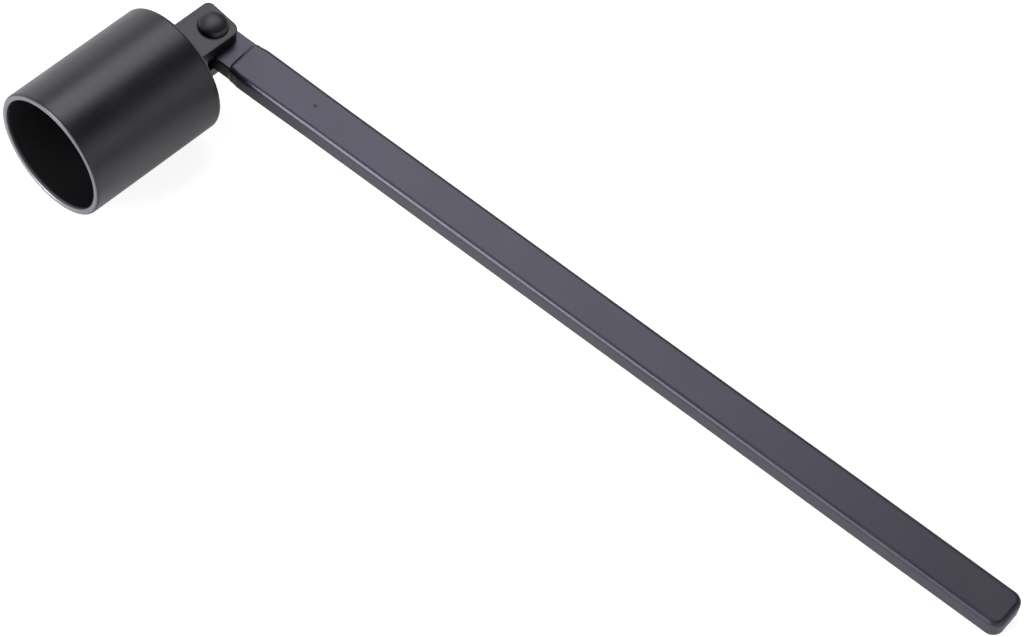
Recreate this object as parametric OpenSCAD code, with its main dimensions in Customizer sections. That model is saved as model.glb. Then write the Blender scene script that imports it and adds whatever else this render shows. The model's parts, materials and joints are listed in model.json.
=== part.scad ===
// Candle snuffer: a round cup, a slotted hinge block screwed on its back, and a flat bar handle.
// The handle swings on a rivet that is set tight enough to hold the cup at any angle.
// The mouth of the cup is centred on the origin and faces -Y, and the handle points along +X.
// The part lies on its side, as on a table: the cup is rolled until the handle's far end touches down.

/* [Cup] */
// Outside diameter of the cup
cup_d = 25; // [20:0.5:36]
// Length of the cup from its mouth to its flat back
cup_len = 29.6; // [22:0.1:45]
// Thickness of the cup's wall and back
cup_wall = 1.2; // [0.7:0.05:1.6]
// Radius round the outside edge of the back
back_r = 1; // [0.4:0.1:3]
// Radius where the inside wall meets the inside of the back
floor_r = 0.6; // [0.2:0.1:2]
// Radius on both edges of the mouth's rim
rim_r = 0.3; // [0.1:0.05:0.34]

/* [Hinge block] */
// Width of the block across the cup's axis, in the plane that the handle swings in
block_w = 8.6; // [7:0.1:12]
// Thickness of the block along the rivet
block_t = 8.6; // [6.6:0.1:12]
// How far the holes lie off the middle of the block, towards the handle
hole_shift = 0.3; // [0:0.1:0.6]
// Height of the rivet's axis over the back of the cup
pin_height = 9.1; // [8.6:0.1:14]
// How far the ears reach past the rivet's axis
ear_reach = 3.3; // [3:0.1:6]
// Height of the solid foot under the slot
foot_h = 4.4; // [3:0.1:4.6]
// Rounding of the ears' corner on the handle's side
ear_near_r = 2; // [0.6:0.1:3]
// Rounding of the ears' other corner
ear_far_r = 1.3; // [0.6:0.1:3]
// Rounding of the foot's corners
foot_r = 0.5; // [0.3:0.1:1]
// Width of the edge break round the block
block_edge = 0.2; // [0.1:0.05:0.25]

/* [Rivet] */
// Diameter of the rivet's shank
rivet_d = 3.2; // [2.4:0.1:4]
// Diameter of the rivet's two heads
rivet_head_d = 5.8; // [4.8:0.1:6]
// Height of the domed front head
rivet_head_h = 1.6; // [1.4:0.1:2]
// Height of the rear head, which is flatter because it is formed last
rivet_tail_h = 1.3; // [1.1:0.1:2]
// Height of the straight side under the dome of each head
rivet_side_h = 0.15; // [0.1:0.05:0.5]

/* [Screw and washer] */
// Outside diameter of the screw's thread
screw_d = 3; // [2.5:0.5:4]
// Length of the screw under its head
screw_len = 6; // [5:0.5:6]
// Diameter of the screw's head
screw_head_d = 5.6; // [4.6:0.1:7]
// Height of the screw's head
screw_head_h = 2; // [1.6:0.1:2.6]
// Height of the straight side of the screw's head
screw_side_h = 1; // [0.6:0.1:1.4]
// Length of each arm of the cross recess, from tip to tip
recess_w = 3; // [2:0.1:3.6]
// Width of the slots of the cross recess
recess_slot = 0.8; // [0.5:0.1:1.2]
// Depth of the cross recess
recess_h = 1.3; // [0.8:0.1:1.5]
// Outside diameter of the spring washer
washer_d = 6; // [5:0.1:8]
// Thickness of the spring washer
washer_t = 0.8; // [0.5:0.1:1.2]
// Gap between the ends of the spring washer
washer_split = 0.4; // [0.2:0.1:1]
// Slant of the spring washer's ends
washer_slant_deg = 30; // [0:5:45]

/* [Handle] */
// Length of the handle from the rivet's axis to its far end
handle_len = 175.8; // [120:0.1:260]
// Thickness of the bar
bar_t = 4.2; // [3.6:0.1:6]
// Width of the bar just past its shoulder
bar_w = 8.35; // [7.9:0.05:11]
// Width of the bar along its slim middle stretch
waist_w = 8.1; // [6:0.05:10]
// Width of the bar along its grip
grip_w = 8.3; // [6:0.05:14]
// Distance from the rivet's axis to the shoulder, where the bar starts
shoulder_at = 6.6; // [6.4:0.1:8]
// Width of the bar at the shoulder
shoulder_w = 7.9; // [7.6:0.05:9]
// Distance from the rivet's axis to where the bar has its width
neck_end = 9.6; // [8.4:0.1:14]
// Distance from the rivet's axis to where the slim stretch starts
waist_start = 30; // [18:1:50]
// Distance from the rivet's axis to where the slim stretch ends
waist_end = 110; // [60:1:112]
// Distance from the rivet's axis to where the grip has its width
grip_start = 147; // [114:1:160]
// Corner radius of the bar at its shoulder
shoulder_r = 1.2; // [1.1:0.1:1.6]
// Corner radius of the bar at its far end
end_r = 2.2; // [1.2:0.1:3]
// Rounding of the bar's long edges
bar_edge_r = 1; // [0.2:0.05:1.1]
// Width of the tongue that turns between the ears
tongue_w = 7.4; // [6:0.1:7.6]
// Thickness of the tongue
tongue_t = 3.4; // [2:0.1:3.8]
// Width of the edge break round the tongue
tongue_edge = 0.25; // [0.1:0.05:0.5]
// How far the tongue runs on inside the bar
tongue_root = 4; // [2:0.5:8]

/* [Pose] */
// How far the handle leans away from the cup, from square to the cup's axis
rest_deg = 6.7; // [-8:0.1:90]

/* [Fits] */
// Gap on each side of the tongue in its slot
slot_gap = 0.05; // [0.02:0.01:0.2]
// Radial gap between the rivet and the tongue's bore
turn_gap = 0.04; // [0.01:0.01:0.1]
// Radial gap between the rivet and the bores of the ears
rivet_gap = 0.02; // [0.01:0.01:0.1]
// Radial gap between the screw and its hole in the block
screw_gap = 0.02; // [0.01:0.01:0.1]
// Radial gap between the screw and the hole in the back of the cup
cup_hole_gap = 0.1; // [0.05:0.05:0.3]
// Radial gap between the screw and the spring washer
washer_gap = 0.15; // [0.05:0.05:0.3]

/* [Hidden] */

// Colour of the satin black coating on every outside piece
coat_color = "#47464b";
// Colour of the black oxide on the screw and its washer
oxide_color = "#333236";

// How far a cut runs past the faces that it breaks through
overrun = 1;
// Facets round a full circle of the cup and of the small round pieces
cup_fn = 96;
small_fn = 48;
// Facets round a corner post inside a hull
post_fn = 32;

cup_r = cup_d / 2;
hollow_r = cup_r - cup_wall;
hollow_h = cup_len - cup_wall;
screw_seat = hollow_h - washer_t;
slot_w = tongue_t + 2 * slot_gap;

// Steps round a quarter of the bar's far corners, its shoulder corners and its long edges
end_steps = 8;
shoulder_steps = 4;
edge_steps = 4;
// Steps along each stretch of the bar's sides
side_steps = 6;

// The bar's sides: places along the handle, and the width at each
side_places = [shoulder_at + shoulder_r, neck_end, waist_start, waist_end, grip_start, handle_len - end_r];
side_widths = [shoulder_w, bar_w, waist_w, waist_w, grip_w, grip_w];

// The point of the far end that touches the table first, measured from the cup's axis
far_reach = (handle_len - end_r) * cos(rest_deg) + (grip_w / 2 - end_r) * sin(rest_deg) + end_r - bar_edge_r;
far_half_t = bar_t / 2 - bar_edge_r;
// The roll about the cup's axis that brings that point down to the table
lie_deg = asin((cup_r - bar_edge_r) / norm([far_reach, far_half_t])) - atan2(far_half_t, far_reach);

// Rolls a piece about the cup's axis, from square to lying on the table
module lay() {
    rotate([0, lie_deg, 0]) children();
}

// Turns +Z to run along the cup's axis, from the mouth to the back
module along_cup() {
    rotate([-90, 0, 0]) children();
}

// Moves a piece from the origin to the rivet's axis
module at_pin() {
    translate([0, cup_len + pin_height, 0]) children();
}

// A round corner post with its ends broken by an edge, for use inside a hull
module post(r, h, edge) {
    cylinder(r = r, h = h - 2 * edge, center = true, $fn = post_fn);
    cylinder(r = r - edge, h = h, center = true, $fn = post_fn);
}

// Half of the cup's outside, with the mouth on the X axis
module cup_outside() {
    square([cup_r - rim_r, cup_len - back_r]);
    square([cup_r - back_r, cup_len]);
    translate([0, rim_r]) square([cup_r, cup_len - rim_r - back_r]);
    translate([cup_r - rim_r, rim_r]) circle(rim_r, $fn = small_fn);
    translate([cup_r - back_r, cup_len - back_r]) circle(back_r, $fn = small_fn);
}

// Half of the cup's hollow, flared at the mouth by the rim's inside radius
module cup_hollow() {
    translate([0, -overrun]) square([hollow_r, hollow_h - floor_r + overrun]);
    translate([0, -overrun]) square([hollow_r - floor_r, hollow_h + overrun]);
    translate([hollow_r - floor_r, hollow_h - floor_r]) circle(floor_r, $fn = small_fn);
    difference() {
        translate([0, -overrun]) square([hollow_r + rim_r, rim_r + overrun]);
        translate([hollow_r + rim_r, rim_r]) circle(rim_r, $fn = small_fn);
    }
}

// The drawn cup, with a hole for the screw in the middle of its back
module snuffer_cup() {
    color(coat_color) lay() along_cup() difference() {
        rotate_extrude($fn = cup_fn) difference() {
            cup_outside();
            cup_hollow();
        }
        translate([0, 0, hollow_h - overrun])
            cylinder(r = screw_d / 2 + cup_hole_gap, h = cup_wall + 2 * overrun, $fn = small_fn);
    }
}

// The block's outline as one rounded body, from the cup's back to the ends of the ears
module block_body() {
    near_x = block_w / 2 - hole_shift;
    far_x = -block_w / 2 - hole_shift;
    end_y = cup_len + pin_height + ear_reach;
    hull() {
        translate([near_x - foot_r, cup_len + foot_r, 0]) post(foot_r, block_t, block_edge);
        translate([far_x + foot_r, cup_len + foot_r, 0]) post(foot_r, block_t, block_edge);
        translate([near_x - ear_near_r, end_y - ear_near_r, 0]) post(ear_near_r, block_t, block_edge);
        translate([far_x + ear_far_r, end_y - ear_far_r, 0]) post(ear_far_r, block_t, block_edge);
    }
}

// The slotted block: two ears over a foot that the screw pulls against the cup
module hinge_block() {
    slot_len = pin_height + ear_reach - foot_h + overrun;
    color(coat_color) lay() difference() {
        block_body();
        translate([-block_w, cup_len + foot_h, -slot_w / 2]) cube([2 * block_w, slot_len, slot_w]);
        at_pin() cylinder(r = rivet_d / 2 + rivet_gap, h = block_t + 2 * overrun, center = true, $fn = small_fn);
        along_cup() translate([0, 0, cup_len - overrun])
            cylinder(r = screw_d / 2 + screw_gap, h = foot_h + 2 * overrun, $fn = small_fn);
    }
}

// The screw's head, standing on its seat, with a cross recess in its dome
module screw_head() {
    head_r = screw_head_d / 2;
    dome_h = screw_head_h - screw_side_h;
    dome_r = (head_r * head_r + dome_h * dome_h) / (2 * dome_h);
    difference() {
        intersection() {
            cylinder(r = head_r, h = screw_head_h, $fn = small_fn);
            translate([0, 0, screw_head_h - dome_r]) sphere(dome_r, $fn = cup_fn);
        }
        intersection() {
            translate([0, 0, screw_head_h - recess_h])
                cylinder(r1 = recess_slot / 2, r2 = recess_w / 2, h = recess_h, $fn = small_fn);
            for (turn = [0, 90]) {
                rotate([0, 0, turn])
                    translate([-recess_w, -recess_slot / 2, 0])
                        cube([2 * recess_w, recess_slot, screw_head_h + overrun]);
            }
        }
    }
}

// The screw, put in from the mouth: its head is inside the cup and its shank is in the block's foot
module cup_screw() {
    color(oxide_color) lay() translate([0, screw_seat, 0]) {
        rotate([90, 0, 0]) screw_head();
        along_cup() cylinder(r = screw_d / 2, h = screw_len, $fn = small_fn);
    }
}

// The spring washer between the screw's head and the inside of the back, pressed flat
module lock_washer() {
    bore_r = screw_d / 2 + washer_gap;
    color(oxide_color) lay() along_cup() translate([0, 0, screw_seat]) difference() {
        cylinder(d = washer_d, h = washer_t, $fn = small_fn);
        translate([0, 0, -overrun]) cylinder(r = bore_r, h = washer_t + 2 * overrun, $fn = small_fn);
        translate([0, 0, washer_t / 2]) rotate([washer_slant_deg, 0, 0])
            translate([0, -washer_split / 2, -washer_d / 2]) cube([washer_d, washer_split, washer_d]);
    }
}

// Half of a rivet head: a low side under a dome
module rivet_head_profile(h) {
    head_r = rivet_head_d / 2;
    dome_h = h - rivet_side_h;
    dome_r = (head_r * head_r + dome_h * dome_h) / (2 * dome_h);
    intersection() {
        square([head_r, h]);
        translate([0, h - dome_r]) circle(dome_r, $fn = cup_fn);
    }
}

// The rivet through both ears and the tongue, with a head set against each ear
module hinge_rivet() {
    color(coat_color) lay() at_pin() {
        cylinder(d = rivet_d, h = block_t, center = true, $fn = small_fn);
        translate([0, 0, block_t / 2])
            rotate_extrude($fn = small_fn) rivet_head_profile(rivet_head_h);
        translate([0, 0, -block_t / 2]) mirror([0, 0, 1])
            rotate_extrude($fn = small_fn) rivet_head_profile(rivet_tail_h);
    }
}

// Goes from 0 to 1 with a smooth start and end
function ease(u) = u * u * (3 - 2 * u);

// Half the bar's width at a distance s from the rivet's axis
function half_width(s, i = 0) =
    s >= side_places[i + 1] && i < len(side_places) - 2
        ? half_width(s, i + 1)
        : let (u = (s - side_places[i]) / (side_places[i + 1] - side_places[i]))
            (side_widths[i] + (side_widths[i + 1] - side_widths[i]) * ease(u)) / 2;

// Distances from the rivet's axis at which the bar's sides get a point, between the corners
side_stations = [
    for (i = [0:len(side_places) - 2])
        for (k = [(i == 0 ? 1 : 0):side_steps - 1])
            side_places[i] + (side_places[i + 1] - side_places[i]) * k / side_steps
];

// Points of an arc about c, from angle a0 to a1
function arc(c, r, a0, a1, steps) = [
    for (k = [0:steps]) let (a = a0 + (a1 - a0) * k / steps) c + r * [cos(a), sin(a)]
];

// The bar's outline seen square on, drawn in by d all round. It runs anticlockwise from the shoulder, so that
// its second half mirrors the first.
function bar_outline(d) =
    let (
        near = [shoulder_at + shoulder_r, shoulder_w / 2 - shoulder_r],
        far = [handle_len - end_r, grip_w / 2 - end_r],
        last = len(side_stations) - 1
    )
    concat(
        arc([near[0], -near[1]], shoulder_r - d, 180, 270, shoulder_steps),
        [for (s = side_stations) [s, d - half_width(s)]],
        arc([far[0], -far[1]], end_r - d, -90, 0, end_steps),
        arc(far, end_r - d, 0, 90, end_steps),
        [for (i = [last:-1:0]) [side_stations[i], half_width(side_stations[i]) - d]],
        arc(near, shoulder_r - d, 90, 180, shoulder_steps)
    );

// The levels of the bar from bottom to top, each with how far the outline is drawn in and its height
bar_levels = concat(
    [for (k = [0:edge_steps]) let (a = 90 * k / edge_steps)
        [bar_edge_r * (1 - sin(a)), bar_edge_r * (1 - cos(a)) - bar_t / 2]],
    [for (k = [edge_steps:-1:0]) let (a = 90 * k / edge_steps)
        [bar_edge_r * (1 - sin(a)), bar_t / 2 - bar_edge_r * (1 - cos(a))]]
);

// The bar as one skin over its levels, flat above and below and rounded along every edge
module bar() {
    rings = [for (level = bar_levels) [for (p = bar_outline(level[0])) [p[0], p[1], level[1]]]];
    n = len(rings[0]);
    top = len(rings) - 1;
    skin = [
        for (k = [0:top - 1]) for (i = [0:n - 1])
            let (a = k * n + i, b = k * n + (i + 1) % n)
                each [[a, a + n, b + n], [a, b + n, b]]
    ];
    // The flat faces are strips across the bar, from each point of one side to its mirror image
    strips = [for (i = [0:n / 2 - 2]) [i, i + 1, n - 2 - i, n - 1 - i]];
    upside = [for (strip = strips) [for (k = [3:-1:0]) top * n + strip[k]]];
    polyhedron([for (ring = rings) each ring], concat(skin, strips, upside), convexity = 4);
}

// The thin tongue, round at the rivet and running into the bar
module tongue() {
    root_x = shoulder_at + tongue_root;
    hull() {
        post(tongue_w / 2, tongue_t, tongue_edge);
        translate([root_x - tongue_w / 2, 0, 0]) post(tongue_w / 2, tongue_t, tongue_edge);
    }
}

// The handle: bar and tongue in one piece, bored for the rivet
module handle_bar() {
    color(coat_color) lay() at_pin() rotate([0, 0, rest_deg]) difference() {
        union() {
            bar();
            tongue();
        }
        cylinder(r = rivet_d / 2 + turn_gap, h = bar_t + 2 * overrun, center = true, $fn = small_fn);
    }
}

snuffer_cup();
hinge_block();
cup_screw();
lock_washer();
hinge_rivet();
handle_bar();
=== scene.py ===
"""Builds the looks of a hinged candle snuffer round its fixed frame: a cup, a hinge block with its rivet, a screw
with its spring washer, a flat bar handle, and the studio that they lie in."""

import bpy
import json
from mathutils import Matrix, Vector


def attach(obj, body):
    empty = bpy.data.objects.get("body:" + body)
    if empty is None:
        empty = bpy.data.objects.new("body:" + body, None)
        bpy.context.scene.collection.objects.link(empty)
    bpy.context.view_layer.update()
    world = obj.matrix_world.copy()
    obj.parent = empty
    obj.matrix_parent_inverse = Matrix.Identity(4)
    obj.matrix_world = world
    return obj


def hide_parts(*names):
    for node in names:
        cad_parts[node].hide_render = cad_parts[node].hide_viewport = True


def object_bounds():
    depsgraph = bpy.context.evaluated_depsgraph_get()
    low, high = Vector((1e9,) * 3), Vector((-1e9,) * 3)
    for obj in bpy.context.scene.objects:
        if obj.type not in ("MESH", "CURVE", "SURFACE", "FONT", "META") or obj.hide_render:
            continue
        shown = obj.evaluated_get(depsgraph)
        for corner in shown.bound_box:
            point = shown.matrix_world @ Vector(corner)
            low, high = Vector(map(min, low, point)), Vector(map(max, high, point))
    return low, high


bl_info = {
    "name": "Candle Snuffer",
    "version": (1, 0, 0),
    "blender": (4, 5, 0),
    "location": "3D View > Sidebar > Snuffer",
    "description": "Builds a hinged candle snuffer in satin black paint, with its studio",
    "category": "Object",
}

import json
import math
from collections import Counter
from functools import partial

import bmesh
import bpy
from bpy.props import FloatProperty, FloatVectorProperty, IntProperty, PointerProperty, StringProperty
from mathutils import Matrix, Quaternion, Vector

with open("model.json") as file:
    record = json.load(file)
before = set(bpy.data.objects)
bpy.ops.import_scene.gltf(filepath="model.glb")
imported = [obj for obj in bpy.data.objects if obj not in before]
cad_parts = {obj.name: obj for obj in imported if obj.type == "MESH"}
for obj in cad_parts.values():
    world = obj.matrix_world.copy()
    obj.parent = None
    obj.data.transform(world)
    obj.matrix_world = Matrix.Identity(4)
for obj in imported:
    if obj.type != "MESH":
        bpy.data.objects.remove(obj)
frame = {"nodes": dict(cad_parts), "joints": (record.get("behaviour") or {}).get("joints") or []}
CAD_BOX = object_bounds()
HINGE = frame["joints"][0]
PIN = Vector(HINGE["pos_m"])
# The part lies on its side, rolled about the cup's axis, and the rivet's axis shows by how much
ROLL = math.atan2(HINGE["axis"][0], HINGE["axis"][2])
TABLE_Z = CAD_BOX[0].z

HEAD_BODY = "cup_head"
HANDLE_BODY = "handle"
MM = 0.001
# Points that are this close, in metres, are one point
SAME_POINT = 1e-7
# Faces round a hole for the rivet, and round the screw's hole
BORE_FACES = 64
SCREW_HOLE_FACES = 48


# Sizes and colours that a user would change


def size(name, description, millimetres):
    """A length property, given in millimetres and kept in metres."""
    return FloatProperty(
        name=name, description=description, default=millimetres * MM, min=0, subtype="DISTANCE", unit="LENGTH"
    )


def colour(name, description, hex_value):
    """A colour property that keeps an sRGB hex value."""
    return StringProperty(name=name, description=description, default=hex_value)


def number(name, description, default, most=100.0):
    """A plain number from 0 upwards."""
    return FloatProperty(name=name, description=description, default=default, min=0, max=most)


def count(name, description, default):
    """How many faces go round a piece."""
    return IntProperty(name=name, description=description, default=default, min=24)


class CupSizes(bpy.types.PropertyGroup):
    """Sizes of the cup"""

    outside: size("Outside Diameter", "Across the outside of the cup", 25)
    length: size("Length", "From the mouth to the flat back", 29.6)
    wall: size("Wall", "Thickness of the wall and the back", 1.2)
    back_radius: size("Back Radius", "Rounding round the outside edge of the back", 1)
    floor_radius: size("Floor Radius", "Rounding where the wall meets the back inside", 0.6)
    rim_inside: size("Rim Inside", "Rounding on the rim's inner edge", 0.3)
    rim_outside: size("Rim Outside", "Rounding on the rim's outer edge", 0.6)
    screw_hole: size("Screw Hole", "Diameter of the hole in the back", 3.2)
    segments: count("Segments", "Faces round the cup", 192)


class BlockSizes(bpy.types.PropertyGroup):
    """Sizes of the hinge block"""

    width: size("Width", "Across the cup's axis, in the plane that the handle swings in", 8.6)
    thickness: size("Thickness", "Along the rivet", 8.6)
    shift: size("Hole Shift", "How far the rivet's hole lies off the middle", 0.3)
    reach: size("Ear Reach", "How far the ears go past the rivet's axis", 3.3)
    foot: size("Foot", "Height of the solid foot under the slot", 4.4)
    slot: size("Slot", "Width of the slot between the ears", 3.5)
    near_radius: size("Near Corner", "Rounding of the ears' corner on the handle's side", 2)
    far_radius: size("Far Corner", "Rounding of the ears' other corner", 1.3)
    foot_radius: size("Foot Corner", "Rounding of the foot's corners", 0.5)
    edge: size("Edge", "Rounding of the block's outer edges", 0.2)
    slot_edge: size("Slot Edge", "Rounding of the slot's edges", 0.1)
    bore: size("Rivet Bore", "Diameter of the hole for the rivet", 3.24)
    tapped: size("Screw Hole", "Diameter of the hole for the screw", 3.04)


class RivetSizes(bpy.types.PropertyGroup):
    """Sizes of the rivet"""

    shank: size("Shank", "Diameter of the shank", 3.2)
    head: size("Head", "Diameter of both heads", 5.8)
    front_height: size("Front Head", "Height of the front head", 1.6)
    rear_height: size("Rear Head", "Height of the rear head", 1.3)
    side: size("Side", "Height from the ear to where each dome would start without its rounded edge", 0.7)
    edge: size("Edge", "Rounding between a head's side and its dome", 0.6)
    segments: count("Segments", "Faces round the rivet", 96)


class HandleSizes(bpy.types.PropertyGroup):
    """Sizes of the handle"""

    length: size("Length", "From the rivet's axis to the far end", 175.79)
    thickness: size("Thickness", "Thickness of the bar", 4.2)
    shoulder_at: size("Shoulder At", "From the rivet's axis to the shoulder", 6.6)
    shoulder_width: size("Shoulder Width", "Width at the shoulder", 7.9)
    neck_end: size("Neck End", "From the rivet's axis to where the bar has its width", 9.6)
    neck_width: size("Neck Width", "Width just past the shoulder", 8.35)
    waist_start: size("Waist Start", "Where the slim stretch starts", 30)
    waist_end: size("Waist End", "Where the slim stretch ends", 110)
    waist_width: size("Waist Width", "Width of the slim stretch", 8.1)
    grip_start: size("Grip Start", "Where the grip has its width", 147)
    grip_width: size("Grip Width", "Width of the grip", 8.3)
    shoulder_radius: size("Shoulder Corner", "Corner radius at the shoulder", 1.2)
    end_radius: size("End Corner", "Corner radius at the far end", 2.2)
    edge: size("Edge", "Rounding of the bar's long edges", 1)
    tongue_width: size("Tongue Width", "Width of the tongue between the ears", 7.4)
    tongue_thickness: size("Tongue Thickness", "Thickness of the tongue", 3.4)
    tongue_edge: size("Tongue Edge", "Rounding of the tongue's edges", 0.25)
    tongue_root: size("Tongue Root", "How far the tongue runs on inside the bar", 4)
    bore: size("Rivet Bore", "Diameter of the tongue's hole", 3.28)
    lean: FloatProperty(
        name="Lean", description="How far the handle leans away from the cup at rest",
        default=math.radians(6.7), subtype="ANGLE",
    )


class FinishColours(bpy.types.PropertyGroup):
    """Colours and gloss of the finishes, and the real sizes of their grain"""

    paint: colour("Paint", "Satin black paint of the cup, the block and the rivet", "#101012")
    tint: colour("Paint Tint", "Tint of that paint's reflections", "#f7f3ff")
    handle_paint: colour("Handle Paint", "Satin blue black paint of the handle", "#25252a")
    handle_tint: colour("Handle Tint", "Tint of the handle's reflections", "#e7e4ff")
    # Painted shade and light inside the cup: the inside is painted darker than the outside, and the next colour is
    # painted light on the inside wall that gets the least light.
    shaded_lining: colour("Lining", "Paint inside the cup where the spray reached it", "#0a0a0b")
    lightened_lining: colour("Thin Lining", "Paint inside the cup where little spray reached it", "#2a2a2c")
    # The rim's bare steel is partly wear and partly a painted highlight, and the lighter colour under it is a painted
    # highlight on the side where the rim reflects the lamps most.
    rim: colour("Worn Rim", "Steel that shows where the paint is rubbed off the cup's rim", "#727277")
    rubbed: colour("Painted Rim Highlight", "The same steel where the rim is rubbed most", "#909094")
    fleck: colour("Fleck", "A grain of dust in the handle's paint", "#1c0c0c")
    oxide: colour("Oxide", "Black oxide on the screw and washer", "#2a2a2c")
    gloss: number("Roughness", "Roughness of the paint", 0.36, most=1.0)
    duller: number("Rivet Roughness", "How much rougher the rivet's paint is", 0.06, most=1.0)
    index: number("Refractive Index", "How strongly the paint reflects", 1.59)
    thin_index: number("Block Index", "How strongly the thinner paint of the block reflects", 1.53)
    handle_index: number("Handle Index", "How strongly the handle's paint reflects", 1.64)
    peel: size("Orange Peel", "Size of the paint's fine ripple", 0.7)
    cloud: size("Clouding", "Size of the patches of slightly duller paint", 9)
    sweep: colour("Sweep", "Floor of the studio", "#c8c8c8")


class StudioSettings(bpy.types.PropertyGroup):
    """The camera and the lamps"""

    lens: number("Lens", "Focal length in millimetres on a 36 mm frame", 150.012, most=1000.0)
    eye: FloatVectorProperty(
        name="Eye", description="Where the camera stands", size=3, subtype="TRANSLATION", unit="LENGTH",
        default=(0.3390833, -0.2958691, 0.5979556),
    )
    turn: FloatVectorProperty(
        name="Turn", description="How the camera is turned, as a quaternion", size=4, subtype="QUATERNION",
        default=(0.8777108, 0.2914425, 0.0791881, 0.3720408),
    )
    overhead: number("Overhead", "Brightness of the soft box overhead, where 1 is white", 2.07)
    front: number("Front", "Brightness of the soft box in front, where 1 is white", 10.5)
    room: number("Room", "Brightness of the room's brightest wall, where 1 is white", 0.95)
    room_tint: colour("Room Tint", "Colour of the light from the room's walls", "#f8f9ff")
    behind: number("Behind", "Share of the room's brightness that is left behind the table", 0.15)
    front_wall: number("Camera Side", "Share of the room's brightness that is left behind the camera", 0.3)


# Nodes, for materials and for geometry


def linear(hex_value):
    """An sRGB hex value as linear red, green and blue, with alpha 1."""
    parts = [int(hex_value[k : k + 2], 16) / 255 for k in (1, 3, 5)]
    return [c / 12.92 if c <= 0.04045 else ((c + 0.055) / 1.055) ** 2.4 for c in parts] + [1.0]


def fill(tree, node, inputs):
    """Sets a node's inputs, or links those whose value is a socket."""
    for key, value in inputs.items():
        if isinstance(value, bpy.types.NodeSocket):
            tree.links.new(value, node.inputs[key])
        else:
            node.inputs[key].default_value = value
    return node


def add(tree, kind, inputs=None, **settings):
    """Adds a node, with its own settings and its inputs."""
    node = tree.nodes.new(kind)
    for name, value in settings.items():
        setattr(node, name, value)
    return fill(tree, node, inputs or {})


def calc(tree, operation, *values):
    """A number worked out from others."""
    return add(tree, "ShaderNodeMath", dict(enumerate(values)), operation=operation).outputs[0]


def measure(tree, operation, *vectors):
    """A number worked out from vectors, such as a distance."""
    return add(tree, "ShaderNodeVectorMath", dict(enumerate(vectors)), operation=operation).outputs["Value"]


def point(tree, **parts):
    """A vector from its X, Y and Z."""
    return add(tree, "ShaderNodeCombineXYZ", parts).outputs[0]


def remap(tree, value, start, stop, low=0.0, high=1.0, **settings):
    """A number that goes from low to high while another goes from start to stop."""
    ends = {"Value": value, "From Min": start, "From Max": stop, "To Min": low, "To Max": high}
    return add(tree, "ShaderNodeMapRange", ends, **settings).outputs["Result"]


def mix(tree, share, first, second, **settings):
    """A colour between two others."""
    return add(tree, "ShaderNodeMix", {0: share, 6: first, 7: second}, data_type="RGBA", **settings).outputs[2]


def noise(tree, place, grain, detail=2.0, roughness=0.5):
    """Cloudy noise with patches as wide as this grain, in metres."""
    inputs = {"Vector": place, "Scale": 1 / grain, "Detail": detail, "Roughness": roughness}
    return add(tree, "ShaderNodeTexNoise", inputs).outputs["Fac"]


def vary(tree, cloud, low, high):
    """A number that follows a noise between two values. Nearly all of a noise lies between 0.3 and 0.7."""
    return remap(tree, cloud, 0.3, 0.7, low, high)


def ripple(tree, height, strength):
    """The normal of a surface with bumps up to a tenth of a millimetre high."""
    return add(tree, "ShaderNodeBump", {"Height": height, "Strength": strength, "Distance": 0.1 * MM}).outputs[0]


def shade_by(tree, value, stops):
    """A grey that follows a number from 0 to 1 through these (place, brightness) stops."""
    node = add(tree, "ShaderNodeValToRGB", {"Fac": value})
    elements = node.color_ramp.elements
    while len(elements) < len(stops):
        elements.new(1.0)
    for element, (place, grey) in zip(elements, stops):
        element.position, element.color = place, (grey, grey, grey, 1.0)
    return node.outputs["Color"]


# Pieces and their meshes


def upright():
    """From the part standing square to lying on its side."""
    return Matrix.Rotation(ROLL, 4, "Y")


def new_object(name, vertices=(), edges=(), faces=()):
    """A new object with this mesh, at the origin."""
    mesh = bpy.data.meshes.new(name)
    mesh.from_pydata(vertices, edges, faces)
    piece = bpy.data.objects.new(name, mesh)
    bpy.context.scene.collection.objects.link(piece)
    return piece


def run_tree(piece, tree, values):
    """Puts a geometry tree on a piece, with its inputs set by socket identifier."""
    step = piece.modifiers.new(tree.name, "NODES")
    step.node_group = tree
    sockets = {s.name: s.identifier for s in tree.interface.items_tree if s.in_out == "INPUT"}
    for name, value in values.items():
        step[sockets[name]] = value
    piece.update_tag()


def tree_inputs(sizes):
    """A group's sizes under the names that the sidebar shows, which are also the names of its tree's inputs."""
    return {sizes.bl_rna.properties[key].name: getattr(sizes, key) for key in sizes.__annotations__}


def apply_modifiers(piece):
    """Turns a piece's modifiers into a plain mesh."""
    graph = bpy.context.evaluated_depsgraph_get()
    graph.update()
    made = bpy.data.meshes.new_from_object(piece.evaluated_get(graph), preserve_all_data_layers=True, depsgraph=graph)
    piece.modifiers.clear()
    old, piece.data = piece.data, made
    bpy.data.meshes.remove(old)


def settle(piece, place, material):
    """Turns a piece's modifiers into a plain closed mesh, in its place, with faces outwards and even shading."""
    apply_modifiers(piece)
    work = bmesh.new()
    work.from_mesh(piece.data)
    bmesh.ops.remove_doubles(work, verts=work.verts, dist=SAME_POINT)
    bmesh.ops.recalc_face_normals(work, faces=work.faces)
    for face in work.faces:
        face.smooth = True
    work.to_mesh(piece.data)
    work.free()
    piece.data.transform(place)
    piece.modifiers.new("Even Shading", "WEIGHTED_NORMAL").keep_sharp = True
    apply_modifiers(piece)
    piece.data.name = piece.name
    piece.data.materials.clear()
    piece.data.materials.append(material)
    uses = Counter(key for face in piece.data.polygons for key in face.edge_keys)
    if any(faces != 2 for faces in uses.values()):
        raise RuntimeError(f"{piece.name} isn't a closed mesh")


def hand_over(piece, body, node):
    """Makes a finished piece stand for its CAD node on its body."""
    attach(piece, body)
    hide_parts(node)


# Finishes

# The wall inside the cup and the rim's inner edge lie within this radius
INSIDE_RADIUS = 11.7 * MM
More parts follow.
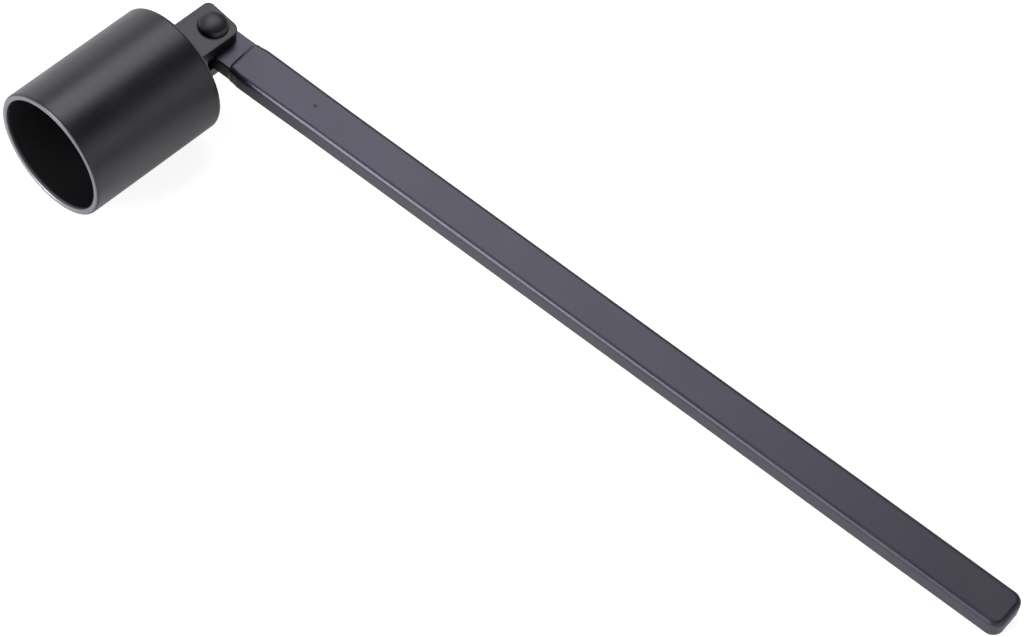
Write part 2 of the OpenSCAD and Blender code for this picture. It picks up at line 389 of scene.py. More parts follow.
# How far in from the mouth each of the rim's edges is bare steel, which is partly wear and partly a painted highlight,
# and where its paint is whole again
OUTER_WEAR_AND_HIGHLIGHT = (0.04 * MM, 0.14 * MM)
INNER_WEAR_AND_HIGHLIGHT = (0.3 * MM, 0.8 * MM)
# The way from the cup's axis to the side of the rim where its steel is painted lighter as a painted highlight, and
# where along it that highlight starts and is full
RIM_HIGHLIGHT_SIDE = (-0.49, 0.0, -0.87)
RIM_HIGHLIGHT_FROM = (2 * MM, 11 * MM)
# Half of the bare rim's shine is a metal's, because a film of paint and soot is left on it
BARE_SHINE = 0.5
# The way from the cup's axis to the inside wall that gets the least light, where the lining is painted lighter as
# painted light, and how far that lightening goes each way
LEAST_LIT_SIDE = (-0.87, 0.0, 0.49)
LIGHTENING_REACH = 11 * MM
# Where the fleck is on the bar, along and across from the rivet, and the radii where it is full and where it is gone
FLECK_AT = (23.6 * MM, 0.2 * MM)
FLECK_RADII = (0.1 * MM, 0.5 * MM)
FLECK_STRENGTH = 0.6
FLECK_DULLS = 0.5
# How much lighter and rougher, or darker and smoother, the paint's patches are
TONE_VARIES = 0.18
ROUGHNESS_VARIES = 0.03
# How high the ripple of sprayed paint and the grain of the paper stand, as a share of a tenth of a millimetre
FAINT = 0.05
OXIDE_GRAIN = 0.4 * MM
OXIDE_ROUGHNESS = (0.32, 0.48)
OXIDE_METAL = 0.8
PAPER_FIBRE = 1.11 * MM
# How brightly the paper glows for the camera, and in the part's reflections
PAPER_GLOW = 0.85
PAPER_MIRRORED = 0.4


def material_tree(name):
    """A material by this name, new or emptied, with only its output."""
    made = bpy.data.materials.get(name) or bpy.data.materials.new(name)
    made.use_nodes = True
    made.node_tree.nodes.clear()
    return made, made.node_tree, add(made.node_tree, "ShaderNodeOutputMaterial").inputs["Surface"]


def cup_wear_and_painted_light(tree, place, paint):
    """The cup's colour, with painted shade and light inside, its rim bare partly from wear and partly as a painted
    highlight, and how much of it is bare metal.
    """
    finish = bpy.context.scene.snuffer_finish
    at = add(tree, "ShaderNodeSeparateXYZ", {"Vector": place}).outputs
    flat = point(tree, X=at["X"], Z=at["Z"])
    inside = calc(tree, "LESS_THAN", measure(tree, "LENGTH", flat), INSIDE_RADIUS)
    # Painted shade inside the cup, darker than the outside, and painted light on the inside wall that gets the least
    # light, which is the greyest
    painted_light_share = remap(tree, measure(tree, "DOT_PRODUCT", flat, LEAST_LIT_SIDE), -LIGHTENING_REACH, LIGHTENING_REACH)
    shaded_lining = mix(tree, painted_light_share, linear(finish.shaded_lining), linear(finish.lightened_lining))
    painted = mix(tree, inside, paint, shaded_lining)
    # The rim's outer edge is bare in a thin line, and its inner edge a little way into the cup, partly from wear and
    # partly as a painted highlight
    outer = remap(tree, at["Y"], *OUTER_WEAR_AND_HIGHLIGHT, 1.0, 0.0)
    inner = calc(tree, "MULTIPLY", remap(tree, at["Y"], *INNER_WEAR_AND_HIGHLIGHT, 1.0, 0.0), inside)
    wear_and_highlight = calc(tree, "MAXIMUM", outer, inner)
    # Painted highlight: the rim's steel is lighter towards the side where the lamps' reflection on the rim is brightest
    most = remap(tree, measure(tree, "DOT_PRODUCT", flat, RIM_HIGHLIGHT_SIDE), *RIM_HIGHLIGHT_FROM)
    steel = mix(tree, most, linear(finish.rim), linear(finish.rubbed))
    return mix(tree, wear_and_highlight, painted, steel), calc(tree, "MULTIPLY", wear_and_highlight, BARE_SHINE)


def flecked(tree, place, centre, paint, rough):
    """A paint's colour and roughness with one grain of dust dried into it, which leaves a dark dull speck."""
    finish = bpy.context.scene.snuffer_finish
    spot = remap(tree, measure(tree, "DISTANCE", place, centre), *FLECK_RADII, FLECK_STRENGTH, 0.0)
    return mix(tree, spot, paint, linear(finish.fleck)), calc(tree, "MULTIPLY_ADD", spot, FLECK_DULLS, rough)


def satin_paint(name, hex_value, tint, index, duller=0.0, wear_and_highlight=False, fleck=None):
    """Baked enamel sprayed on steel: an even satin black, with the faint ripple that sprayed paint dries to."""
    finish = bpy.context.scene.snuffer_finish
    gloss = finish.gloss + duller
    made, tree, surface = material_tree(name)
    place = add(tree, "ShaderNodeTexCoord").outputs["Object"]
    # Slightly duller and blacker patches, as wide as a fingertip
    cloud = noise(tree, place, finish.cloud, detail=3.0, roughness=0.55)
    tone = vary(tree, cloud, 1 - TONE_VARIES, 1 + TONE_VARIES)
    paint = mix(tree, 1.0, linear(hex_value), tone, blend_type="MULTIPLY")
    rough = vary(tree, cloud, gloss - ROUGHNESS_VARIES, gloss + ROUGHNESS_VARIES)
    bare = 0.0
    if wear_and_highlight:
        paint, bare = cup_wear_and_painted_light(tree, place, paint)
    if fleck is not None:
        paint, rough = flecked(tree, place, fleck, paint, rough)
    skin = add(tree, "ShaderNodeBsdfPrincipled", {
        "Base Color": paint, "Metallic": bare, "Roughness": rough, "IOR": index, "Specular Tint": linear(tint),
        "Normal": ripple(tree, noise(tree, place, finish.peel), FAINT),
    })
    tree.links.new(skin.outputs["BSDF"], surface)
    return made


def black_oxide():
    """Steel blackened in a hot salt bath: a thin dark grey skin that still glints like the metal under it."""
    finish = bpy.context.scene.snuffer_finish
    made, tree, surface = material_tree("Steel, Black Oxide")
    # The forging's fine grain breaks the glints up
    grain = noise(tree, add(tree, "ShaderNodeTexCoord").outputs["Object"], OXIDE_GRAIN, detail=3.0)
    skin = add(tree, "ShaderNodeBsdfPrincipled", {
        "Base Color": linear(finish.oxide), "Metallic": OXIDE_METAL, "Roughness": vary(tree, grain, *OXIDE_ROUGHNESS),
        "Normal": ripple(tree, grain, 2 * FAINT),
    })
    tree.links.new(skin.outputs["BSDF"], surface)
    return made


def paper_sweep():
    """Matte white background paper: pale, with no sheen, and bright enough to go white in the picture."""
    finish = bpy.context.scene.snuffer_finish
    made, tree, surface = material_tree("Paper, Matte White")
    fibre = noise(tree, add(tree, "ShaderNodeTexCoord").outputs["Object"], PAPER_FIBRE)
    paper = add(tree, "ShaderNodeBsdfDiffuse", {"Color": linear(finish.sweep), "Normal": ripple(tree, fibre, FAINT)})
    # The paper glows for the camera, and less in the part's reflections
    ray = add(tree, "ShaderNodeLightPath").outputs
    mirrored = calc(tree, "MULTIPLY", ray["Is Glossy Ray"], PAPER_MIRRORED)
    glow = calc(tree, "MULTIPLY_ADD", ray["Is Camera Ray"], PAPER_GLOW, mirrored)
    white = add(tree, "ShaderNodeEmission", {"Strength": glow})
    both = add(tree, "ShaderNodeAddShader", {0: paper.outputs[0], 1: white.outputs[0]})
    tree.links.new(both.outputs[0], surface)
    return made


# Geometry trees

LENGTH = "NodeSocketFloat"
COUNT = "NodeSocketInt"
SHAPE = "NodeSocketGeometry"
MATERIAL = "NodeSocketMaterial"
# The attribute that holds the rounding of each corner
CORNER = "corner"
# Radius of the circle that a turned profile is swept round, which the sweep adds to the profile's own radius
SPINDLE = 1 * MM
# A plate's flat faces reach this many edge radii in from its outline, so the rounded edge always has its room
EDGE_ROOM = 1.05
EDGE_STEPS = 6
# A plate's rounded edge and its flat faces meet within this distance, in metres
PLATE_SEAM = 1e-6
# The bar's stations stay this many corner radii away from its corners, and crowd this much towards the shoulder
CORNER_ROOM = 1.15
CROWDING = 1.4
# The tongue's end is a shade under half a circle, so that its two arcs never meet
ROUND_END = 0.499
ROUND_END_STEPS = 24


def geometry_tree(name, inputs):
    """A new geometry tree, its inputs, each from (name, socket type, default), and its output. A tree that is there
    already comes with None for both."""
    found = bpy.data.node_groups.get(name)
    if found is not None:
        return found, None, None
    tree = bpy.data.node_groups.new(name, "GeometryNodeTree")
    for label, kind, default in inputs:
        socket = tree.interface.new_socket(label, in_out="INPUT", socket_type=kind)
        if default is not None:
            socket.default_value = default
    tree.interface.new_socket("Geometry", in_out="OUTPUT", socket_type=SHAPE)
    return tree, add(tree, "NodeGroupInput").outputs, add(tree, "NodeGroupOutput").inputs[0]


def to_curve(tree, mesh):
    """A line of edges as a curve."""
    return add(tree, "GeometryNodeMeshToCurve", {"Mesh": mesh}).outputs[0]


def fillet(tree, curve, steps, radius):
    """A curve with its corners turned into arcs."""
    inputs = {"Curve": curve, "Count": steps, "Radius": radius, "Limit Radius": True}
    return add(tree, "GeometryNodeFilletCurve", inputs, mode="POLY").outputs[0]


def moved(tree, shape, **where):
    """A shape with its points at a new position, or moved by an offset."""
    return add(tree, "GeometryNodeSetPosition", {"Geometry": shape, **where}).outputs[0]


def marked(tree, points, radius):
    """Points that each hold the rounding of their corner."""
    inputs = {"Geometry": points, "Name": CORNER, "Value": radius}
    return add(tree, "GeometryNodeStoreNamedAttribute", inputs, data_type="FLOAT", domain="POINT").outputs[0]


def rounded(tree, curve, steps):
    """A curve with each corner rounded by what its point holds."""
    held = add(tree, "GeometryNodeInputNamedAttribute", {"Name": CORNER}, data_type="FLOAT")
    return fillet(tree, curve, steps, held.outputs[0])


def pick(tree, kind, values):
    """For each point, the value that stands at its index."""
    switch = add(tree, "GeometryNodeIndexSwitch", data_type=kind)
    while len(switch.index_switch_items) < len(values):
        switch.index_switch_items.new()
    index = add(tree, "GeometryNodeInputIndex").outputs[0]
    return fill(tree, switch, dict(enumerate([index, *values]))).outputs[0]


def end_tree(tree, shape, material, output):
    """Ends a tree with real instances in their material."""
    real = add(tree, "GeometryNodeRealizeInstances", {0: shape})
    painted = add(tree, "GeometryNodeSetMaterial", {"Geometry": real.outputs[0], "Material": material})
    tree.links.new(painted.outputs[0], output)
    return tree


def turned_piece_tree():
    """Turns a profile about the Z axis. Its points hold radius and height as X and Y, and a corner radius."""
    tree, given, output = geometry_tree("Turned Piece", [
        ("Profile", SHAPE, None), ("Segments", COUNT, 96), ("Arc Steps", COUNT, 8), ("Material", MATERIAL, None),
    ])
    if given is None:
        return tree
    line = rounded(tree, to_curve(tree, given["Profile"]), given["Arc Steps"])
    # A swept profile takes X outwards from the path and Y downwards
    at = add(tree, "ShaderNodeSeparateXYZ", {0: add(tree, "GeometryNodeInputPosition").outputs[0]}).outputs
    swept = point(tree, X=calc(tree, "SUBTRACT", at["X"], SPINDLE), Y=calc(tree, "MULTIPLY", at["Y"], -1.0))
    path = add(tree, "GeometryNodeCurvePrimitiveCircle", {"Resolution": given["Segments"], "Radius": SPINDLE})
    skin = add(tree, "GeometryNodeCurveToMesh", {
        "Curve": path.outputs[0], "Profile Curve": moved(tree, line, Position=swept),
    })
    closed = add(tree, "GeometryNodeMergeByDistance", {"Geometry": skin.outputs[0], "Distance": SAME_POINT})
    return end_tree(tree, closed.outputs[0], given["Material"], output)


def cup_tree():
    """The drawn cup from its own sizes: six corners, each with its rounding, turned about the cup's axis."""
    lengths = [
        "Outside Diameter", "Length", "Wall", "Back Radius", "Floor Radius", "Rim Inside", "Rim Outside", "Screw Hole",
    ]
    tree, given, output = geometry_tree("Snuffer Cup", [(name, LENGTH, 10 * MM) for name in lengths] + [
        ("Segments", COUNT, 192), ("Arc Steps", COUNT, 8), ("Material", MATERIAL, None),
    ])
    if given is None:
        return tree
    outer = calc(tree, "MULTIPLY", given["Outside Diameter"], 0.5)
    inner = calc(tree, "SUBTRACT", outer, given["Wall"])
    hole = calc(tree, "MULTIPLY", given["Screw Hole"], 0.5)
    floor = calc(tree, "SUBTRACT", given["Length"], given["Wall"])
    corners = [
        (hole, given["Length"], 0.0),
        (outer, given["Length"], given["Back Radius"]),
        (outer, 0.0, given["Rim Outside"]),
        (inner, 0.0, given["Rim Inside"]),
        (inner, floor, given["Floor Radius"]),
        (hole, floor, 0.0),
    ]
    radius, height, rounding = (pick(tree, "FLOAT", column) for column in zip(*corners))
    ring = add(tree, "GeometryNodeMeshCircle", {"Vertices": len(corners)}, fill_type="NONE").outputs[0]
    turned = add(tree, "GeometryNodeGroup", {
        "Profile": moved(tree, marked(tree, ring, rounding), Position=point(tree, X=radius, Y=height)),
        "Segments": given["Segments"], "Arc Steps": given["Arc Steps"], "Material": given["Material"],
    }, node_tree=turned_piece_tree())
    tree.links.new(turned.outputs[0], output)
    return tree


def plate_tree():
    """A flat plate from its outline, which runs anticlockwise: a rounded edge swept round it, and two flat faces."""
    tree, given, output = geometry_tree("Rounded Plate", [
        ("Outline", SHAPE, None), ("Thickness", LENGTH, 3 * MM), ("Edge", LENGTH, 0.5 * MM),
        ("Edge Steps", COUNT, EDGE_STEPS),
    ])
    if given is None:
        return tree
    half = calc(tree, "MULTIPLY", given["Thickness"], 0.5)
    low = calc(tree, "MULTIPLY", half, -1.0)
    inset = calc(tree, "MULTIPLY", given["Edge"], -EDGE_ROOM)
    outline = add(tree, "GeometryNodeSetCurveNormal", {"Curve": given["Outline"]}, mode="Z_UP").outputs[0]
    corners = [
        point(tree, X=inset, Y=low), point(tree, Y=low), point(tree, Y=half), point(tree, X=inset, Y=half),
    ]
    line = add(tree, "GeometryNodeMeshLine", {"Count": len(corners)}).outputs[0]
    bent = to_curve(tree, moved(tree, line, Position=pick(tree, "VECTOR", corners)))
    edge = fillet(tree, bent, given["Edge Steps"], given["Edge"])
    parts = [add(tree, "GeometryNodeCurveToMesh", {"Curve": outline, "Profile Curve": edge}).outputs[0]]
    # The flat faces fill the outline, drawn in to where the rounded edge ends
    along = add(tree, "GeometryNodeInputTangent").outputs[0]
    outward = add(tree, "ShaderNodeVectorMath", {0: along, 1: (0, 0, 1)}, operation="CROSS_PRODUCT").outputs[0]
    inward = add(tree, "ShaderNodeVectorMath", {0: outward, "Scale": inset}, operation="SCALE").outputs[0]
    face = add(tree, "GeometryNodeFillCurve", {"Curve": moved(tree, outline, Offset=inward)}, mode="TRIANGLES")
    parts += [moved(tree, face.outputs[0], Offset=point(tree, Z=height)) for height in (half, low)]
    joined = add(tree, "GeometryNodeJoinGeometry")
    for part in parts:
        tree.links.new(part, joined.inputs[0])
    closed = add(tree, "GeometryNodeMergeByDistance", {"Geometry": joined.outputs[0], "Distance": PLATE_SEAM})
    tree.links.new(closed.outputs[0], output)
    return tree


def handle_tree():
    """The bar handle from its own sizes. Its width eases from shoulder to neck, waist and grip along its length."""
    lengths = [
        "Length", "Thickness", "Shoulder At", "Shoulder Width", "Neck End", "Neck Width", "Waist Start", "Waist End",
        "Waist Width", "Grip Start", "Grip Width", "Shoulder Corner", "End Corner", "Edge", "Tongue Width",
        "Tongue Thickness", "Tongue Edge", "Tongue Root", "Rivet Bore",
    ]
    tree, given, output = geometry_tree("Bar Handle", [(name, LENGTH, 10 * MM) for name in lengths] + [
        ("Stations", COUNT, 120), ("Arc Steps", COUNT, 10), ("Material", MATERIAL, None),
    ])
    if given is None:
        return tree
    work = partial(calc, tree)

    # A point's station: out along one side of the bar, and back along the other
    last = work("SUBTRACT", given["Stations"], 1.0)
    index = add(tree, "GeometryNodeInputIndex").outputs[0]
    back = work("GREATER_THAN", index, last)
    turn_back = work("SUBTRACT", work("MULTIPLY_ADD", last, 2.0, 1.0), work("MULTIPLY", index, 2.0))
    station = work("MULTIPLY_ADD", back, turn_back, index)
    # Its place along the bar. The first and the last station are the corners, and the others keep clear of them
    share = work("DIVIDE", work("SUBTRACT", station, 1.0), work("SUBTRACT", last, 2.0))
    start = work("MULTIPLY_ADD", given["Shoulder Corner"], CORNER_ROOM, given["Shoulder At"])
    stop = work("MULTIPLY_ADD", given["End Corner"], -CORNER_ROOM, given["Length"])
    along = work("MULTIPLY_ADD", work("POWER", share, CROWDING), work("SUBTRACT", stop, start), start)
    is_first = work("LESS_THAN", station, 0.5)
    is_last = work("GREATER_THAN", station, work("SUBTRACT", last, 0.5))
    for chosen, place in ((is_first, given["Shoulder At"]), (is_last, given["Length"])):
        either = {"Switch": chosen, "False": along, "True": place}
        along = add(tree, "GeometryNodeSwitch", either, input_type="FLOAT").outputs[0]
    # The width there, which changes smoothly from one stretch to the next
    width = given["Shoulder Width"]
    for begin, end, before, after in (
        (start, given["Neck End"], "Shoulder Width", "Neck Width"),
        (given["Neck End"], given["Waist Start"], "Neck Width", "Waist Width"),
        (given["Waist End"], given["Grip Start"], "Waist Width", "Grip Width"),
    ):
        change = work("SUBTRACT", given[after], given[before])
        eased = remap(tree, along, begin, end, 0.0, change, interpolation_type="SMOOTHSTEP")
        width = work("ADD", width, eased)
    over = work("MULTIPLY", width, work("SUBTRACT", back, 0.5))
    rounding = work(
        "MULTIPLY_ADD", is_first, given["Shoulder Corner"], work("MULTIPLY", is_last, given["End Corner"])
    )
    points = add(tree, "GeometryNodeMeshLine", {"Count": work("MULTIPLY", given["Stations"], 2.0)}).outputs[0]
    spread = moved(tree, marked(tree, points, rounding), Position=point(tree, X=along, Y=over))
    ring = add(tree, "GeometryNodeSetSplineCyclic", {"Geometry": to_curve(tree, spread), "Cyclic": True}).outputs[0]
    outline = rounded(tree, ring, given["Arc Steps"])

    # The tongue: a long round-ended plate from half its width behind the rivet to inside the bar
    root = work("ADD", given["Shoulder At"], given["Tongue Root"])
    box = add(tree, "GeometryNodeCurvePrimitiveQuadrilateral", {
        "Width": work("MULTIPLY_ADD", given["Tongue Width"], 0.5, root), "Height": given["Tongue Width"],
    })
    ends = fillet(tree, box.outputs[0], ROUND_END_STEPS, work("MULTIPLY", given["Tongue Width"], ROUND_END))
    middle = work("MULTIPLY_ADD", given["Tongue Width"], -0.25, work("MULTIPLY", root, 0.5))
    tongue_outline = moved(tree, ends, Offset=point(tree, X=middle))

    def plate(line, thickness, edge):
        """A rounded plate from its outline."""
        inputs = {"Outline": line, "Thickness": thickness, "Edge": edge, "Edge Steps": EDGE_STEPS}
        return add(tree, "GeometryNodeGroup", inputs, node_tree=plate_tree()).outputs[0]

    bar = plate(outline, given["Thickness"], given["Edge"])
    tongue = plate(tongue_outline, given["Tongue Thickness"], given["Tongue Edge"])
    drill = add(tree, "GeometryNodeMeshCylinder", {
        "Vertices": BORE_FACES, "Radius": work("MULTIPLY", given["Rivet Bore"], 0.5),
        "Depth": work("MULTIPLY", given["Tongue Thickness"], 2.0),
    })
    bored = add(
        tree, "GeometryNodeMeshBoolean", {0: tongue, 1: drill.outputs[0]}, operation="DIFFERENCE", solver="EXACT"
    )
    joined = add(tree, "GeometryNodeJoinGeometry")
    for shape in (bar, bored.outputs[0]):
        tree.links.new(shape, joined.inputs[0])
    return end_tree(tree, joined.outputs[0], given["Material"], output)


# Pieces

# How far a cutter reaches past what it cuts
PAST = 2 * MM


class SNUFFER_OT_cup(bpy.types.Operator):
    """Builds the cup: a drawn steel cup, painted, with painted shade and light inside, and a rim that is partly rubbed
    bright and partly a painted highlight
    """

    bl_idname = "snuffer.cup"
    bl_label = "Cup"

    def execute(self, context):
        finish = context.scene.snuffer_finish
        # Black outside, painted shade inside with painted light on its least-lit wall, and a rim of bright steel that
        # is partly wear and partly a painted highlight
        paint = satin_paint("Baked Paint, Satin Black, Worn Rim", finish.paint, finish.tint, finish.index, wear_and_highlight=True)
        piece = new_object("cup_shell")
        run_tree(piece, cup_tree(), {**tree_inputs(context.scene.snuffer_cup), "Material": paint})
        settle(piece, upright() @ Matrix.Rotation(math.radians(-90), 4, "X"), paint)
        hand_over(piece, HEAD_BODY, "snuffer_cup")
        return {"FINISHED"}


def rounded_corners(corners, steps=10):
    """An outline from (x, y, radius) corners, each turned into an arc."""
    points = []
    for k, (x, y, radius) in enumerate(corners):
        here = Vector((x, y))
        before = (Vector(corners[k - 1][:2]) - here).normalized()
        after = (Vector(corners[(k + 1) % len(corners)][:2]) - here).normalized()
        centre = here + (before + after) * radius
        for j in range(steps + 1):
            turn = math.pi / 2 * j / steps
            points.append(centre - after * radius * math.cos(turn) - before * radius * math.sin(turn))
    return points


def circle(y, radius, steps):
    """The outline of a circle about a point on the Y axis."""
    turns = [math.tau * k / steps for k in range(steps)]
    return [(radius * math.cos(turn), y + radius * math.sin(turn)) for turn in turns]


def prism(name, outline, low, high, place=None):
    """A new object: an outline drawn up from one height to another, and then put in its place."""
    work = bmesh.new()
    rings = [[work.verts.new((p[0], p[1], z)) for p in outline] for z in (low, high)]
    work.faces.new(list(reversed(rings[0])))
    work.faces.new(rings[1])
    for k in range(len(outline)):
        j = (k + 1) % len(outline)
        work.faces.new((rings[0][k], rings[0][j], rings[1][j], rings[1][k]))
    if place is not None:
        bmesh.ops.transform(work, matrix=place, verts=work.verts)
    bmesh.ops.recalc_face_normals(work, faces=work.faces)
    piece = new_object(name)
    work.to_mesh(piece.data)
    work.free()
    return piece


def soften(piece, name, width, segments):
    """Rounds every edge that is sharper than 60 degrees."""
    bevel = piece.modifiers.new(name, "BEVEL")
    bevel.width, bevel.segments, bevel.angle_limit = width, segments, math.radians(60)


class SNUFFER_OT_hinge_block(bpy.types.Operator):
    """Builds the slotted hinge block: two ears over a foot, with softened edges"""

    bl_idname = "snuffer.hinge_block"
    bl_label = "Hinge Block"

    def execute(self, context):
        block, cup = context.scene.snuffer_block, context.scene.snuffer_cup
        near, far = block.width / 2 - block.shift, -block.width / 2 - block.shift
        base, end = cup.length, PIN.y + block.reach
        half, floor = block.thickness / 2, base + block.foot
        piece = prism("hinge_block_ears", rounded_corners([
            (near, base, block.foot_radius), (near, end, block.near_radius),
            (far, end, block.far_radius), (far, base, block.foot_radius),
        ]), -half, half)
        soften(piece, "Outer Edges", block.edge, segments=4)
        slot = [(far - PAST, floor), (near + PAST, floor), (near + PAST, end + PAST), (far - PAST, end + PAST)]
        along_cup = Matrix.Translation((0, base, 0)) @ Matrix.Rotation(math.radians(-90), 4, "X")
        cutters = [
            prism("slot_cutter", slot, -block.slot / 2, block.slot / 2),
            prism("bore_cutter", circle(PIN.y, block.bore / 2, BORE_FACES), -half - PAST, half + PAST),
            prism(
                "screw_hole_cutter", circle(0, block.tapped / 2, SCREW_HOLE_FACES), -PAST, block.foot + PAST, along_cup
            ),
        ]
        for cutter in cutters:
            cut = piece.modifiers.new(cutter.name, "BOOLEAN")
            cut.object, cut.operation, cut.solver = cutter, "DIFFERENCE", "EXACT"
        soften(piece, "Slot Edges", block.slot_edge, segments=2)
        finish = context.scene.snuffer_finish
        # A thinner coat, so the block reflects a little less than the cup
        paint = satin_paint("Baked Paint, Satin Black, Thin", finish.paint, finish.tint, finish.thin_index)
        settle(piece, upright(), paint)
        for cutter in cutters:
            # This takes the cutter's object with it
            bpy.data.meshes.remove(cutter.data)
        hand_over(piece, HEAD_BODY, "hinge_block")
        return {"FINISHED"}


def rivet_head(rivet, height, steps=40):
    """A rivet head's profile from its crown down to the ear, as (radius, height) points."""
    outer, rise, edge = rivet.head / 2, height - rivet.side, rivet.edge
    dome = (outer**2 + rise**2) / (2 * rise)
    points = []
    for k in range(steps + 1):
        r = outer * math.sin(math.pi / 2 * k / steps)
        crown = height - dome + math.sqrt(dome**2 - r**2)
        # The last stretch bends down into the straight side
        bend = edge * (1 - math.sqrt(1 - max(0.0, (r - outer + edge) / edge) ** 2))
        points.append((r, crown - bend))
    return points + [(outer, 0.0)]


class SNUFFER_OT_rivet(bpy.types.Operator):
    """Builds the rivet: a domed front head, a shank, and a flatter rear head"""

    bl_idname = "snuffer.rivet"
    bl_label = "Rivet"

    def execute(self, context):
        rivet, half = context.scene.snuffer_rivet, context.scene.snuffer_block.thickness / 2
        front = [(r, half + z) for r, z in rivet_head(rivet, rivet.front_height)]
        rear = [(r, -half - z) for r, z in reversed(rivet_head(rivet, rivet.rear_height))]
        shank = [(rivet.shank / 2, half), (rivet.shank / 2, -half)]
        profile = [(r, z, 0) for r, z in front + shank + rear]
        piece = new_object("hinge_rivet_turned", profile, [(k, k + 1) for k in range(len(profile) - 1)])
        # The profile has its roundings already, so its corners keep a radius of 0
        piece.data.attributes.new(CORNER, "FLOAT", "POINT")
        finish = context.scene.snuffer_finish
        # Rougher where the head was hammered before it was painted, so its highlight is wide and soft
        paint = satin_paint(
            "Baked Paint, Satin Black, Soft", finish.paint, finish.tint, finish.index, duller=finish.duller
        )
        run_tree(piece, turned_piece_tree(), {"Segments": rivet.segments, "Material": paint})
        settle(piece, upright() @ Matrix.Translation(PIN), paint)
        hand_over(piece, HEAD_BODY, "hinge_rivet")
        return {"FINISHED"}


class SNUFFER_OT_fasteners(bpy.types.Operator):
    """Finishes the screw and the spring washer inside the cup"""

    bl_idname = "snuffer.fasteners"
    bl_label = "Screw and Washer"

    def execute(self, context):
        oxide = black_oxide()
        for node in ("cup_screw", "lock_washer"):
            mesh = frame["nodes"][node].data
            mesh.materials.clear()
            mesh.materials.append(oxide)
        return {"FINISHED"}


class SNUFFER_OT_handle(bpy.types.Operator):
    """Builds the bar handle with its tongue"""

    bl_idname = "snuffer.handle"
    bl_label = "Handle"

    def execute(self, context):
        bar, finish = context.scene.snuffer_handle, context.scene.snuffer_finish
        place = upright() @ Matrix.Translation(PIN) @ Matrix.Rotation(bar.lean, 4, "Z")
        # A bluer and slicker black, which shines grey along the whole bar
        paint = satin_paint(
            "Baked Paint, Satin Blue Black", finish.handle_paint, finish.handle_tint, finish.handle_index,
            fleck=place @ Vector((*FLECK_AT, bar.thickness / 2)),
        )
        inputs = tree_inputs(bar)
        # The lean turns the finished handle, and isn't one of its tree's inputs
        del inputs["Lean"]
        piece = new_object("handle_bar_painted")
        run_tree(piece, handle_tree(), {**inputs, "Material": paint})
        settle(piece, place, paint)
        hand_over(piece, HANDLE_BODY, "handle_bar")
        return {"FINISHED"}


# Studio

# Each soft box: its name, its direction from the cup, its distance, width and height in metres, and its brightness
SOFT_BOXES = (
    ("Overhead Soft Box", (-0.33, 0.34, 0.87), 1.0, 0.64, 1.0, "overhead"),
    ("Front Soft Box", (-0.5, -1.35, 0.62), 1.57, 0.8, 1.1, "front"),
)
# Each wall's brightness from the floor up to the dark ceiling, as (height, share)
LEFT_WALL = ((0, 1.5), (0.3, 1.3), (0.45, 0.95), (0.6, 0.5), (0.75, 0.2), (1, 0.03))
RIGHT_WALL = ((0, 0.3), (0.2, 1.0), (0.38, 1.45), (0.55, 0.95), (0.72, 0.1), (1, 0.0))
# Between these directions along X the left wall turns into the right one
WALLS_MEET = (-0.4, 0.4)
# The directions along Y where the room gets darker, and the share of its brightness that is left there
DARK_SIDES = ((0.5, 0.7, "behind"), (-0.45, -0.65, "front_wall"))
# Watts for each square metre of a soft box at which it looks white in a mirror
WHITE_WATTS = 4
# Half the width of the square sweep, in metres
HALF_SWEEP = 4.0


def soft_box(name, direction, distance, width, height, brightness):
    """An area lamp that looks at the cup, with its width level. A brightness of 1 looks white in a mirror."""
    lamp = bpy.data.lights.new(name, "AREA")
    lamp.shape, lamp.size, lamp.size_y = "RECTANGLE", width, height
    lamp.energy = WHITE_WATTS * brightness * width * height
    holder = bpy.data.objects.new(name, lamp)
    bpy.context.scene.collection.objects.link(holder)
    aim = Vector(direction).normalized()
    across = (Vector((1, 0, 0)) - aim * aim.x).normalized()
    holder.location = aim * distance
    holder.rotation_mode = "QUATERNION"
    holder.rotation_quaternion = Matrix((across, aim.cross(across), aim)).transposed().to_quaternion()


def set_camera(scene, studio):
    """The camera of the picture."""
    camera = bpy.data.cameras.new("Camera")
    camera.sensor_fit, camera.sensor_width, camera.lens = "HORIZONTAL", 36, studio.lens
    camera.clip_start, camera.clip_end = 0.01, 20
    holder = bpy.data.objects.new("Camera", camera)
    scene.collection.objects.link(holder)
    holder.location = studio.eye
    holder.rotation_mode = "QUATERNION"
    holder.rotation_quaternion = Quaternion(studio.turn).normalized()
    scene.camera = holder


def studio_room(studio):
    """A world that lights the part like a room with two bright walls, dark behind the table and the camera."""
    world = bpy.data.worlds.new("Studio Room")
    world.use_nodes = True
    tree = world.node_tree
    tree.nodes.clear()
    way = add(tree, "ShaderNodeSeparateXYZ", {"Vector": add(tree, "ShaderNodeTexCoord").outputs["Generated"]}).outputs
    smooth = {"interpolation_type": "SMOOTHSTEP"}
    walls = add(tree, "ShaderNodeMix", {
        0: remap(tree, way["X"], *WALLS_MEET, **smooth),
        2: shade_by(tree, way["Z"], LEFT_WALL),
        3: shade_by(tree, way["Z"], RIGHT_WALL),
    })
    level = calc(tree, "MULTIPLY", walls.outputs[0], studio.room)
    for start, stop, share in DARK_SIDES:
        level = calc(tree, "MULTIPLY", level, remap(tree, way["Y"], start, stop, 1.0, getattr(studio, share), **smooth))
    room = add(tree, "ShaderNodeBackground", {"Color": linear(studio.room_tint), "Strength": level})
    add(tree, "ShaderNodeOutputWorld", {"Surface": room.outputs[0]})
    return world


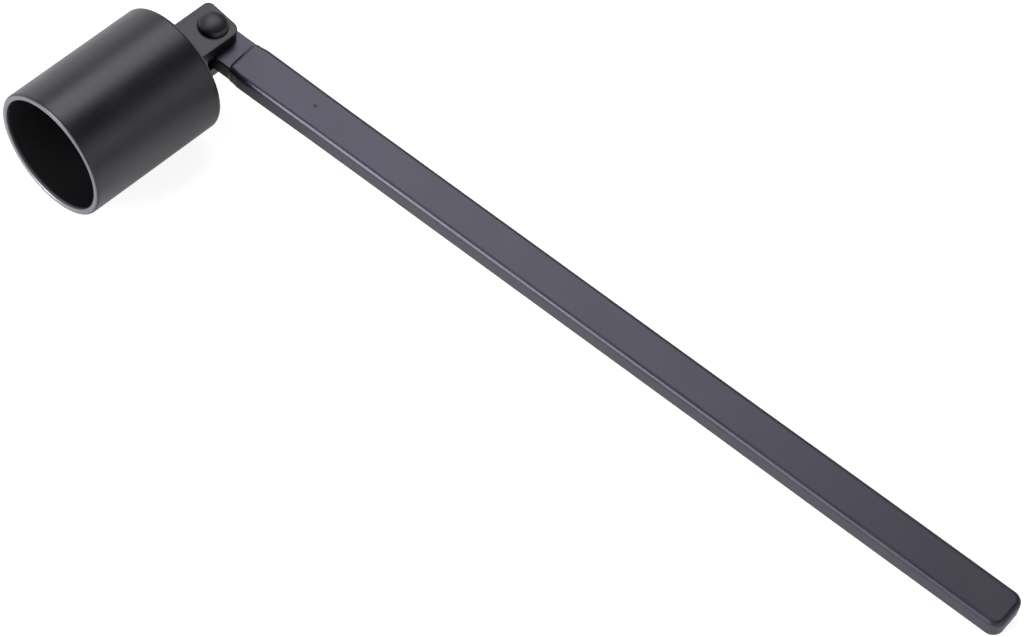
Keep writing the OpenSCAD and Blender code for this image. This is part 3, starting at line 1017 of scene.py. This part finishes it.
class SNUFFER_OT_stage(bpy.types.Operator):
    """Sets the camera, the lamps, the room and the white sweep"""

    bl_idname = "snuffer.stage"
    bl_label = "Stage"

    def execute(self, context):
        scene, studio = context.scene, context.scene.snuffer_studio
        scene.view_settings.view_transform = "Standard"
        set_camera(scene, studio)
        for *shape, brightness in SOFT_BOXES:
            soft_box(*shape, getattr(studio, brightness))
        scene.world = studio_room(studio)
        signs = ((-1, -1), (1, -1), (1, 1), (-1, 1))
        corners = [(x * HALF_SWEEP, y * HALF_SWEEP, TABLE_Z) for x, y in signs]
        sweep = new_object("sweep", corners, faces=[(0, 1, 2, 3)])
        sweep.data.materials.append(paper_sweep())
        return {"FINISHED"}


# The sidebar and the add-on


class SNUFFER_PT_sidebar(bpy.types.Panel):
    """Sizes, finishes and pieces of the candle snuffer"""

    bl_idname = "SNUFFER_PT_sidebar"
    bl_label = "Candle Snuffer"
    bl_space_type = "VIEW_3D"
    bl_region_type = "UI"
    bl_category = "Snuffer"

    def draw(self, context):
        for title, group, maker in PARTS:
            box = self.layout.box()
            box.label(text=title)
            for name in getattr(context.scene, group).__annotations__:
                box.prop(getattr(context.scene, group), name)
            box.operator(maker.bl_idname)


GROUPS = {
    "snuffer_cup": CupSizes,
    "snuffer_block": BlockSizes,
    "snuffer_rivet": RivetSizes,
    "snuffer_handle": HandleSizes,
    "snuffer_finish": FinishColours,
    "snuffer_studio": StudioSettings,
}
PARTS = [
    ("Cup", "snuffer_cup", SNUFFER_OT_cup),
    ("Hinge Block", "snuffer_block", SNUFFER_OT_hinge_block),
    ("Rivet", "snuffer_rivet", SNUFFER_OT_rivet),
    ("Finishes, Screw and Washer", "snuffer_finish", SNUFFER_OT_fasteners),
    ("Handle", "snuffer_handle", SNUFFER_OT_handle),
    ("Stage", "snuffer_studio", SNUFFER_OT_stage),
]
CLASSES = [*GROUPS.values(), *(maker for _, _, maker in PARTS), SNUFFER_PT_sidebar]


def register():
    for cls in CLASSES:
        bpy.utils.register_class(cls)
    for name, group in GROUPS.items():
        setattr(bpy.types.Scene, name, PointerProperty(type=group))


def unregister():
    for name in GROUPS:
        delattr(bpy.types.Scene, name)
    for cls in reversed(CLASSES):
        bpy.utils.unregister_class(cls)


def main():
    """Builds every piece and the stage."""
    register()
    bpy.ops.snuffer.cup()
    bpy.ops.snuffer.hinge_block()
    bpy.ops.snuffer.rivet()
    bpy.ops.snuffer.fasteners()
    bpy.ops.snuffer.handle()
    bpy.ops.snuffer.stage()


if __name__ == "__main__":
    main()
